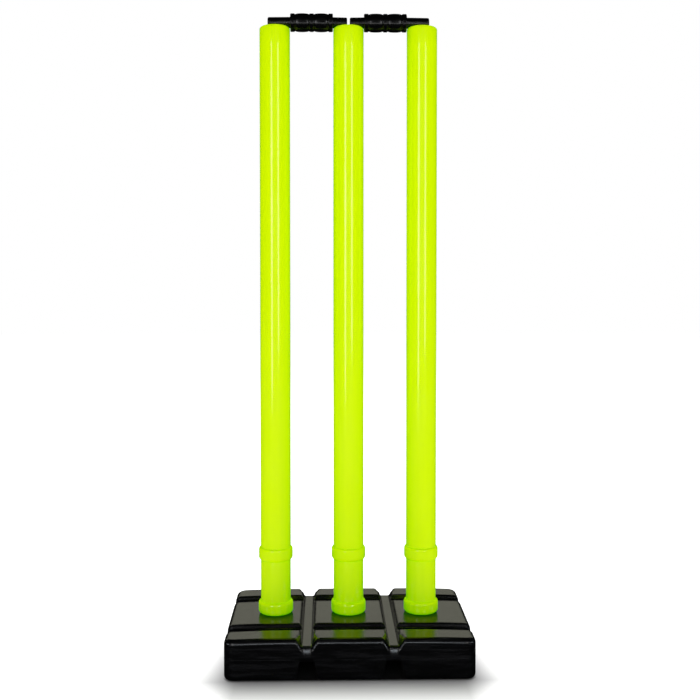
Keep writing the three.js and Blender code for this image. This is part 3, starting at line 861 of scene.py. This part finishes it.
def stump_sheets(sizes, spigot, place):
    """A stump: crown, tube, bead and mouth outside, and a bore closed by a dome inside.

    The crown is flat in the middle and then part of an ellipse, which meets the tube at a soft
    corner. Its height is the lower of that and the round groove for the bails, with the edge
    between them rounded.
    """
    bore = sizes.radius - sizes.wall
    stand = reach("stump_middle", 0) - sizes.radius
    lip = sizes.radius + sizes.bead_lip
    bead_foot = MOUTH + sizes.bead_foot
    bead_top = bead_foot + sizes.bead_band
    turn = sizes.crown_turn
    fillet = (sizes.crown_width / np.cos(turn), sizes.crown_height / (1 - np.sin(turn)))
    flat_radius = sizes.radius - sizes.crown_width
    tube_top = CROWN_TOP - sizes.crown_height
    edge = sizes.edge
    flat_steps = 21
    flat = np.linspace((0, CROWN_TOP), (flat_radius, CROWN_TOP), flat_steps, endpoint=False)
    crown = outline(flat, arc((flat_radius, CROWN_TOP - fillet[1]), fillet, QUARTER, turn, steps=34))
    tube_z = np.arange(tube_top - sizes.tube_step, bead_top + sizes.bead_top, -sizes.tube_step)
    tube = np.stack([np.full_like(tube_z, sizes.radius), tube_z], -1)
    bead = outline(
        arc((sizes.radius, bead_top), (stand, sizes.bead_top), QUARTER, 0, steps=8),
        arc((lip, bead_foot), (stand - sizes.bead_lip, sizes.bead_foot), 0, -sizes.bead_turn, steps=6),
    )
    mouth = outline(
        arc((lip - edge, MOUTH + edge), edge, 0, -QUARTER),
        arc((bore + edge, MOUTH + edge), edge, -QUARTER, -2 * QUARTER),
    )
    soft = sizes.dome_round
    dome_z = CROWN_TOP - sizes.crown_thickness
    dome = outline(arc((bore - soft, dome_z - soft), soft, 0, QUARTER, steps=8), (0, dome_z))
    sheet = turned(np.concatenate([crown, tube, bead, mouth, dome]), sizes.segments)
    top = sheet[: len(crown)]
    radius = spigot + sizes.groove_gap
    across = np.abs(top[..., 1])
    rise = BAIL_AXIS - np.sqrt(np.maximum(radius**2 - across**2, 0)) + np.maximum(across - radius, 0)
    top[..., 2] = -smooth_max(-top[..., 2], -rise, sizes.groove_edge)
    sheet[..., 0] += place
    return [(sheet, True, None)]


def bail_profile(sizes, stump_radius):
    """Radius and place along a bail from the tip of its long spigot to the tip of its short one."""
    total = reach("bail_left", 0) * 2
    barrel = STUMP_PITCH - 2 * stump_radius - 2 * sizes.shoulder_gap
    start = sizes.long_spigot
    bulge = (barrel - 3 * sizes.ring_length) / 2 - 2 * sizes.neck_length
    half_step = sizes.ring_length + sizes.neck_length
    tip = sizes.spigot - sizes.taper - sizes.tip_round
    edge, soft = sizes.ring_edge, sizes.neck_round

    def ring(place):
        """A turned ring: a quarter round at each of its two edges."""
        inner = sizes.ring - edge
        return outline(
            arc((inner, place + edge), edge, -QUARTER, 0, steps=5),
            arc((inner, place + sizes.ring_length - edge), edge, 0, QUARTER, steps=5),
        )

    def barrel_bulge(place):
        """A bulge between two necks: half of an ellipse."""
        size = (sizes.bulge - sizes.neck, bulge / 2)
        return outline(
            (sizes.neck, place - sizes.neck_length + soft),
            arc((sizes.neck, place + bulge / 2), size, -QUARTER, QUARTER, steps=28),
            (sizes.neck, place + bulge + sizes.neck_length - soft),
        )

    second = start + half_step + bulge + sizes.neck_length
    last = second + half_step + bulge + sizes.neck_length
    end = last + sizes.ring_length
    shoulder = arc((sizes.spigot + soft, start - soft), soft, 2 * QUARTER, QUARTER, steps=4)
    far_shoulder = arc((sizes.spigot + soft, end + soft), soft, -QUARTER, -2 * QUARTER, steps=4)
    return outline(
        (0, 0), arc((tip, sizes.tip_round), sizes.tip_round, -QUARTER, 0, steps=8),
        shoulder, (sizes.shoulder, start), ring(start),
        barrel_bulge(start + half_step), ring(second),
        barrel_bulge(second + half_step), ring(last), (sizes.shoulder, end), far_shoulder,
        arc((tip, total - sizes.tip_round), sizes.tip_round, 0, QUARTER, steps=8), (0, total),
    )


def bail_sheets(sizes, stump_radius, side):
    """A bail: its profile carried round the bails' axis, with the long spigot over the outer stump."""
    spun = turned(bail_profile(sizes, stump_radius), sizes.segments)
    outer_end = max(abs(value) for value in extent("bail_left", 0))
    sign = SIDES[side]
    along = sign * (outer_end - spun[..., 2])
    return [(np.stack([along, spun[..., 0], BAIL_AXIS + spun[..., 1]], -1), True, None)]


def join(tree, node, **inputs):
    """Gives a node's inputs numbers or links, by their names with underscores for the spaces."""
    for name, value in inputs.items():
        socket = node.inputs[name.replace("_", " ")]
        if isinstance(value, bpy.types.NodeSocket):
            tree.links.new(value, socket)
        else:
            socket.default_value = value


def add_node(tree, kind, **inputs):
    """Adds a shader node of a kind, and gives its inputs numbers or links."""
    made = tree.nodes.new(f"ShaderNode{kind}")
    join(tree, made, **inputs)
    return made


def new_material(name):
    """A material with a principled shader, its tree, and the piece's own coordinates."""
    material = bpy.data.materials.new(name)
    material.use_nodes = True
    tree = material.node_tree
    tree.nodes.clear()
    shader = add_node(tree, "BsdfPrincipled")
    add_node(tree, "OutputMaterial", Surface=shader.outputs["BSDF"])
    return material, tree, shader, add_node(tree, "TexCoord").outputs["Object"]


def stretched(tree, place, scale):
    """The piece's coordinates, scaled along each axis."""
    return add_node(tree, "Mapping", Vector=place, Scale=scale).outputs["Vector"]


def noise(tree, place, scale, detail=3.0, roughness=0.5):
    """A cloud pattern of one scale, as a number about a half."""
    made = add_node(tree, "TexNoise", Vector=place, Scale=scale, Detail=detail, Roughness=roughness)
    return made.outputs["Fac"]


def mapped(tree, value, span, onto=(0, 1)):
    """A pattern's number carried from one span onto another and held inside it."""
    change = add_node(tree, "MapRange", Value=value, From_Min=span[0], From_Max=span[1])
    join(tree, change, To_Min=onto[0], To_Max=onto[1])
    return change.outputs["Result"]


def mixed(tree, share, first, second):
    """A mix of two colours by a pattern."""
    mix = add_node(tree, "Mix")
    mix.data_type = "RGBA"
    join(tree, mix, Factor=share, A=(*first, 1), B=(*second, 1))
    return mix.outputs["Result"]


def bumped(tree, height, distance, strength, over=None):
    """A bump from a pattern, laid over another bump if one is given."""
    bump = add_node(tree, "Bump", Height=height, Distance=distance, Strength=strength)
    if over is not None:
        join(tree, bump, Normal=over)
    return bump.outputs["Normal"]


def neon_plastic(finishes):
    """Fluorescent moulded plastic: long faint flow streaks, a soft sheen and a very fine grain."""
    material, tree, shader, place = new_material("neon moulded plastic")
    streaks = noise(tree, stretched(tree, place, (1, 1, 0.06)), scale=160, detail=4)
    clouds = noise(tree, place, scale=22, detail=2)
    waves = noise(tree, stretched(tree, place, (1, 1, 0.1)), scale=90, detail=2)
    grain = noise(tree, place, scale=1400, detail=2)
    ripple = bumped(tree, waves, distance=0.3 * MM, strength=0.1)
    gloss = finishes.neon_gloss
    # Painted light: the emission is a steady green glow standing in for fluorescence; it shines the same in
    # shade and lifts the shaded parts.
    join(
        tree, shader, IOR=PLASTIC_IOR, Emission_Color=(*finishes.neon_painted_glow, 1), Emission_Strength=1,
        Base_Color=mixed(tree, mapped(tree, streaks, (0.3, 0.7)), finishes.neon, finishes.neon_shade),
        Roughness=mapped(tree, clouds, (0.3, 0.7), (gloss - 0.02, gloss + 0.03)),
        Normal=bumped(tree, grain, distance=0.05 * MM, strength=0.1, over=ripple),
    )
    return material


def base_plastic(finishes):
    """Blow-moulded black plastic: fine drawn lines along the mould, dusty streaks and a satin skin."""
    material, tree, shader, place = new_material("black moulded base plastic")
    lines = noise(tree, stretched(tree, place, (0.05, 1, 1)), scale=1800, detail=3)
    streaks = noise(tree, stretched(tree, place, (0.08, 1, 1)), scale=320, detail=4, roughness=0.6)
    waves, grain = noise(tree, place, scale=34, detail=2), noise(tree, place, scale=2200, detail=2)
    skin = bumped(tree, waves, distance=0.5 * MM, strength=0.08)
    drawn = bumped(tree, lines, distance=0.02 * MM, strength=0.15, over=skin)
    dusty = mapped(tree, streaks, (0.48, 0.75))
    gloss = finishes.base_gloss
    join(
        tree, shader, IOR=PLASTIC_IOR,
        Base_Color=mixed(tree, dusty, finishes.base_black, finishes.base_dust),
        Roughness=mapped(tree, lines, (0.3, 0.7), (gloss - 0.03, gloss + 0.04)),
        Normal=bumped(tree, grain, distance=0.02 * MM, strength=0.3, over=drawn),
    )
    return material


def bail_plastic(finishes):
    """Black plastic of the bails: turning marks round the axis and a worn sheen in patches."""
    material, tree, shader, place = new_material("black bail plastic")
    rings = noise(tree, stretched(tree, place, (1, 0.02, 0.02)), scale=1500, detail=2)
    wear = noise(tree, place, scale=180, detail=5, roughness=0.6)
    grain = noise(tree, place, scale=1800, detail=2)
    marks = bumped(tree, rings, distance=0.03 * MM, strength=0.25)
    worn = mapped(tree, wear, (0.5, 0.75))
    gloss = finishes.bail_gloss
    join(
        tree, shader, IOR=PLASTIC_IOR,
        Base_Color=mixed(tree, worn, finishes.bail_black, finishes.bail_wear),
        Roughness=mapped(tree, wear, (0.3, 0.7), (gloss + 0.05, gloss - 0.05)),
        Normal=bumped(tree, grain, distance=0.02 * MM, strength=0.3, over=marks),
    )
    return material


def seal_rubber(finishes):
    """Soft black rubber: matt, with a powdery grain that is paler than the rubber."""
    material, tree, shader, place = new_material("black seal rubber")
    paler = 2.2
    grain = noise(tree, place, scale=1600, detail=4, roughness=0.7)
    dust = tuple(paler * value for value in finishes.rubber)
    join(
        tree, shader,
        Base_Color=mixed(tree, mapped(tree, grain, (0.45, 0.75)), finishes.rubber, dust),
        Roughness=mapped(tree, grain, (0.3, 0.7), (0.7, 0.9)),
        Normal=bumped(tree, grain, distance=0.08 * MM, strength=0.4),
    )
    return material


def damp_sand(finishes):
    """Packed sand: clumps of two colours, a rough surface and fine grains."""
    material, tree, shader, place = new_material("packed damp sand")
    grains = add_node(tree, "TexVoronoi", Vector=place, Scale=1300).outputs["Distance"]
    clumps = noise(tree, place, scale=220, detail=5, roughness=0.7)
    lumps = bumped(tree, clumps, distance=1.2 * MM, strength=0.6)
    join(
        tree, shader, Specular_IOR_Level=0.2,
        Base_Color=mixed(tree, mapped(tree, clumps, (0.35, 0.7)), finishes.sand, finishes.sand_dark),
        Roughness=mapped(tree, clumps, (0.3, 0.7), (0.85, 1)),
        Normal=bumped(tree, grains, distance=0.4 * MM, strength=0.8, over=lumps),
    )
    return material


def vector_math(tree, operation, first, second=None):
    """One step of arithmetic on a vector."""
    step = tree.nodes.new("ShaderNodeVectorMath")
    step.operation = operation
    tree.links.new(first, step.inputs[0])
    if second is not None:
        step.inputs[1].default_value = second
    return step


def number_math(tree, operation, first, second):
    """One step of arithmetic on two numbers."""
    step = tree.nodes.new("ShaderNodeMath")
    step.operation = operation
    tree.links.new(first, step.inputs[0])
    tree.links.new(second, step.inputs[1])
    return step.outputs[0]


def floor_finish(finishes, studio, corner, fillet):
    """Pale studio floor: matt, with a light of its own that comes up with the distance from the base.

    The glow keeps the floor evenly bright away from the base, and it is held back near the base, which
    paints a soft shadow round it. The distance is a sum of three ways, each counted in reaches of that
    painted shadow: out past the base's sides, less an inset, out past its front or back, and back from
    its front. Under the base, within its foot's rounded corners, the floor is painted dark and gives no
    light: a painted shade, seen through the base's tunnels.
    """
    material, tree, shader, place = new_material("pale studio floor")
    painted_shade_share, margin = 0.03, 1 * MM
    half_x, half_y = reach("base_shell", 0), reach("base_shell", 1)
    mirrored = vector_math(tree, "ABSOLUTE", place).outputs[0]

    def outside(x, y):
        """How far a point lies outside a rectangle along each axis, and nothing within it."""
        past = vector_math(tree, "SUBTRACT", mirrored, (x, y, 0)).outputs[0]
        return vector_math(tree, "MAXIMUM", past, (0, 0, 0)).outputs[0]

    counted = (1 / studio.painted_shadow_reach_side, 1 / studio.painted_shadow_reach_front, 0)
    around = outside(half_x - studio.painted_shadow_inset, half_y)
    out = vector_math(tree, "DOT_PRODUCT", around, counted).outputs["Value"]
    from_front = vector_math(tree, "ADD", place, (0, half_y, 0)).outputs[0]
    back = vector_math(tree, "DOT_PRODUCT", from_front, (0, 1 / studio.painted_shadow_reach_back, 0)).outputs["Value"]
    distance = number_math(tree, "ADD", out, back)
    # Painted shade: under the base's foot the floor takes a small share of its colour and no glow, a dark
    # patch seen through the tunnels.
    clear = vector_math(tree, "LENGTH", outside(half_x - corner, half_y - corner)).outputs["Value"]
    clear_of_painted_shade = mapped(tree, clear, (corner - fillet, corner + margin))
    # Painted shadow: the floor's glow fades out towards the base, darkest close in front of it.
    glow = mapped(tree, distance, (0, 1), (0, studio.floor_glow))
    glow.node.interpolation_type = "SMOOTHSTEP"
    shade = tuple(painted_shade_share * value for value in finishes.floor)
    join(
        tree, shader, Roughness=0.9, Specular_IOR_Level=0, Emission_Color=WHITE,
        Base_Color=mixed(tree, clear_of_painted_shade, shade, finishes.floor),
        Emission_Strength=number_math(tree, "MULTIPLY", glow, clear_of_painted_shade),
    )
    return material


def area_light(name, place, target, size, watts, mirrored, tint=(1, 1, 1), pieces=()):
    """A rectangular soft light at a place, facing a target, of one of two kinds.

    A mirrored light only shows as a reflection, and the other kind only lights. Where pieces are
    named it is kept to them, as flags in a studio keep a light off the rest.
    """
    data = bpy.data.lights.new(name, "AREA")
    data.shape = "RECTANGLE"
    data.size, data.size_y = size
    data.energy = watts
    data.color = tint
    lamp = bpy.data.objects.new(name, data)
    lamp.location = place
    lamp.rotation_euler = (Vector(target) - Vector(place)).to_track_quat("-Z", "Y").to_euler()
    lamp.visible_diffuse, lamp.visible_glossy = not mirrored, mirrored
    bpy.context.scene.collection.objects.link(lamp)
    if pieces:
        lit = bpy.data.collections.new(f"{lamp.name} pieces")
        for piece in pieces:
            lit.objects.link(bpy.data.objects[piece])
        lamp.light_linking.receiver_collection = lit


def studio_world(studio):
    """White behind the object for the camera, and a dim even light for everything else."""
    world = bpy.data.worlds.new("pale studio")
    bpy.context.scene.world = world
    world.use_nodes = True
    tree = world.node_tree
    tree.nodes.clear()
    choice = add_node(tree, "MixShader", Fac=add_node(tree, "LightPath").outputs["Is Camera Ray"])
    for socket, strength in zip(choice.inputs[1:], (studio.sky, studio.backdrop)):
        background = add_node(tree, "Background", Color=WHITE, Strength=strength)
        tree.links.new(background.outputs[0], socket)
    add_node(tree, "OutputWorld", Surface=choice.outputs[0])


def tall_softboxes(studio):
    """A tall softbox on each side in front, made of layers so that it fades to its ends."""
    aside, ahead, width = 0.85, -1.85, 0.34
    tops = (1.24, 1.17, 1.08, 0.98, 0.88)
    feet = {-1: (0.1, 0.22, 0.32, 0.4, 0.47), 1: (0.25, 0.31, 0.37, 0.43, 0.49)}
    for sign, lows in feet.items():
        for low, high in zip(lows, tops):
            middle_z = (low + high) / 2
            watts = studio.softbox_power * (high - low) / len(tops)
            place, target = (sign * aside, ahead, middle_z), (0, 0, middle_z)
            area_light("softbox", place, target, (width, high - low), watts, mirrored=True)


def studio_lights(studio):
    """Softboxes and strips in front and a far panel behind, which show as reflections, and even lights.

    The strips and the panel are kept to the black pieces. The light overhead, the one behind and
    the fills don't show as reflections.
    """
    base, bails = ["base_moulding"], ["turned_bail_left", "turned_bail_right"]
    foot, bail_height, ahead = (0, 0, 0.05), (0, 0, 0.76), (0, -1.6, 0.3)
    white, cool, warm = (1, 1, 1), (0.84, 0.92, 1), (1, 1, 0.8)
    left, right = (-2.2, -0.8, 0.45), (2.2, -0.8, 0.45)
    tall_softboxes(studio)
    for name, place, target, size, watts, tint, pieces in (
        ("base_strip", ahead, foot, (0.85, 0.12), studio.strip_power, cool, base),
        ("bail_strip", ahead, bail_height, (1.4, 0.12), studio.bail_power, white, bails),
        ("side_strip", left, foot, (1.2, 0.2), studio.side_power, cool, base),
        ("side_strip", right, foot, (1.2, 0.2), studio.side_power, cool, base),
        ("back_panel", (0, 8, 3.1), foot, (11, 2.4), studio.panel_power, warm, base),
    ):
        area_light(name, place, target, size, watts, mirrored=True, tint=tint, pieces=pieces)
    for name, place, target, size, watts in (
        ("top_light", (0, 0.9, 3), (0, 0.9, 0), (5, 2.4), studio.top_power),
        ("light_behind", (0, 2.6, 2), foot, (6, 1.9), studio.behind_power),
        ("fill_light", (0, -3, 1.5), (0, 0, 0.4), (4.5, 2), studio.fill_power),
        ("low_fill_light", (0, -2.5, 0.45), (0, 0, 0.2), (3, 0.8), studio.low_power),
    ):
        area_light(name, place, target, size, watts, mirrored=False)


def aim_camera(studio):
    """The camera at its eye, turned and tilted, with the photograph's lens and framing."""
    data = bpy.data.cameras.new("camera")
    data.sensor_width = SENSOR_WIDTH
    data.lens = studio.lens
    data.shift_y = studio.shift
    data.clip_start, data.clip_end = 0.01, 100
    camera = bpy.data.objects.new("camera", data)
    camera.location = studio.eye
    camera.rotation_euler = (QUARTER - studio.tilt, 0, -studio.turn)
    bpy.context.scene.collection.objects.link(camera)
    bpy.context.scene.camera = camera


class WICKET_OT_base(bpy.types.Operator):
    """Build the hollow moulded base"""

    bl_idname = "wicket.base"
    bl_label = "Moulded base"

    def execute(self, context):
        scene = context.scene
        sheets = base_sheets(scene.wicket_base)
        finish = base_plastic(scene.wicket_finishes)
        add_piece("base_moulding", sheets, finish, "base", "black_base_plastic", "base_shell")
        return {"FINISHED"}


class WICKET_OT_filler(bpy.types.Operator):
    """Build the filler cap and its seal, and give the sand its finish"""

    bl_idname = "wicket.filler"
    bl_label = "Filler cap, seal and sand"

    def execute(self, context):
        scene = context.scene
        neck = scene.wicket_base.neck_bore
        cap, seal = cap_sheets(scene.wicket_cap, neck), seal_sheets(scene.wicket_cap, neck)
        black = bpy.data.materials["black moulded base plastic"]
        rubber = seal_rubber(scene.wicket_finishes)
        add_piece("filler_screw_cap", cap, black, "cap", "black_base_plastic", "filler_cap")
        add_piece("filler_sealing_ring", seal, rubber, "cap", "seal_rubber", "cap_seal")
        sand = damp_sand(scene.wicket_finishes)
        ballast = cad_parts["sand_ballast"]
        ballast.data.materials.clear()
        ballast.data.materials.append(sand)
        return {"FINISHED"}


class WICKET_OT_collars(bpy.types.Operator):
    """Build the three collars"""

    bl_idname = "wicket.collars"
    bl_label = "Collars"

    def execute(self, context):
        scene = context.scene
        neon = neon_plastic(scene.wicket_finishes)
        well_radius = scene.wicket_base.well_radius
        for side, place in STUMP_PLACES.items():
            sheets = collar_sheets(scene.wicket_collar, scene.wicket_stump, well_radius, place)
            add_piece(f"collar_{side}", sheets, neon, "base", "neon_plastic", f"holder_{side}")
        return {"FINISHED"}


class WICKET_OT_stumps(bpy.types.Operator):
    """Build the three stumps"""

    bl_idname = "wicket.stumps"
    bl_label = "Stumps"

    def execute(self, context):
        scene = context.scene
        neon = bpy.data.materials["neon moulded plastic"]
        for side, place in STUMP_PLACES.items():
            sheets = stump_sheets(scene.wicket_stump, scene.wicket_bail.spigot, place)
            node = f"stump_{side}"
            add_piece(f"stump_tube_{side}", sheets, neon, node, "neon_plastic", node)
        return {"FINISHED"}


class WICKET_OT_bails(bpy.types.Operator):
    """Build the two bails"""

    bl_idname = "wicket.bails"
    bl_label = "Bails"

    def execute(self, context):
        scene = context.scene
        black = bail_plastic(scene.wicket_finishes)
        for side in ("left", "right"):
            sheets = bail_sheets(scene.wicket_bail, scene.wicket_stump.radius, side)
            node = f"bail_{side}"
            add_piece(f"turned_bail_{side}", sheets, black, node, "black_bail_plastic", node)
        return {"FINISHED"}


class WICKET_OT_stage(bpy.types.Operator):
    """Set up the floor, the lights and the camera"""

    bl_idname = "wicket.stage"
    bl_label = "Studio"

    def execute(self, context):
        scene = context.scene
        studio, finishes = scene.wicket_studio, scene.wicket_finishes
        scene.view_settings.view_transform = "Standard"
        studio_world(studio)
        half, sizes = 8.0, scene.wicket_base
        corners = [(-half, -half, 0), (half, -half, 0), (half, half, 0), (-half, half, 0)]
        mesh = bpy.data.meshes.new("studio_floor")
        mesh.from_pydata(corners, [], [(0, 1, 2, 3)])
        mesh.materials.append(floor_finish(finishes, studio, sizes.corner, sizes.foot_fillet))
        floor = bpy.data.objects.new("studio_floor", mesh)
        floor.visible_glossy = False
        scene.collection.objects.link(floor)
        studio_lights(studio)
        aim_camera(studio)
        return {"FINISHED"}


OPERATORS = (
    WICKET_OT_base, WICKET_OT_filler, WICKET_OT_collars,
    WICKET_OT_stumps, WICKET_OT_bails, WICKET_OT_stage,
)
SIZE_GROUPS = {
    "wicket_base": WicketBaseSizes,
    "wicket_cap": WicketCapSizes,
    "wicket_collar": WicketCollarSizes,
    "wicket_stump": WicketStumpSizes,
    "wicket_bail": WicketBailSizes,
    "wicket_finishes": WicketFinishes,
    "wicket_studio": WicketStudio,
}


class WICKET_PT_panel(bpy.types.Panel):
    """Lists the sizes, the finishes and the steps"""

    bl_idname = "WICKET_PT_panel"
    bl_label = "Cricket wicket"
    bl_space_type = "VIEW_3D"
    bl_region_type = "UI"
    bl_category = "Wicket"

    def draw(self, context):
        for operator in OPERATORS:
            self.layout.operator(operator.bl_idname)
        for name, group in SIZE_GROUPS.items():
            box = self.layout.box()
            box.label(text=group.__doc__)
            for size in group.__annotations__:
                box.prop(getattr(context.scene, name), size)


def register():
    """Registers the classes and hangs the sizes on the scene."""
    for group in (*SIZE_GROUPS.values(), *OPERATORS, WICKET_PT_panel):
        bpy.utils.register_class(group)
    for name, group in SIZE_GROUPS.items():
        setattr(bpy.types.Scene, name, PointerProperty(type=group))


def unregister():
    """Takes the sizes off the scene and unregisters the classes."""
    for name in SIZE_GROUPS:
        delattr(bpy.types.Scene, name)
    for group in reversed((*SIZE_GROUPS.values(), *OPERATORS, WICKET_PT_panel)):
        bpy.utils.unregister_class(group)


def main():
    """Builds every piece and the stage."""
    register()
    bpy.ops.wicket.base()
    bpy.ops.wicket.filler()
    bpy.ops.wicket.collars()
    bpy.ops.wicket.stumps()
    bpy.ops.wicket.bails()
    bpy.ops.wicket.stage()


if __name__ == "__main__":
    main()
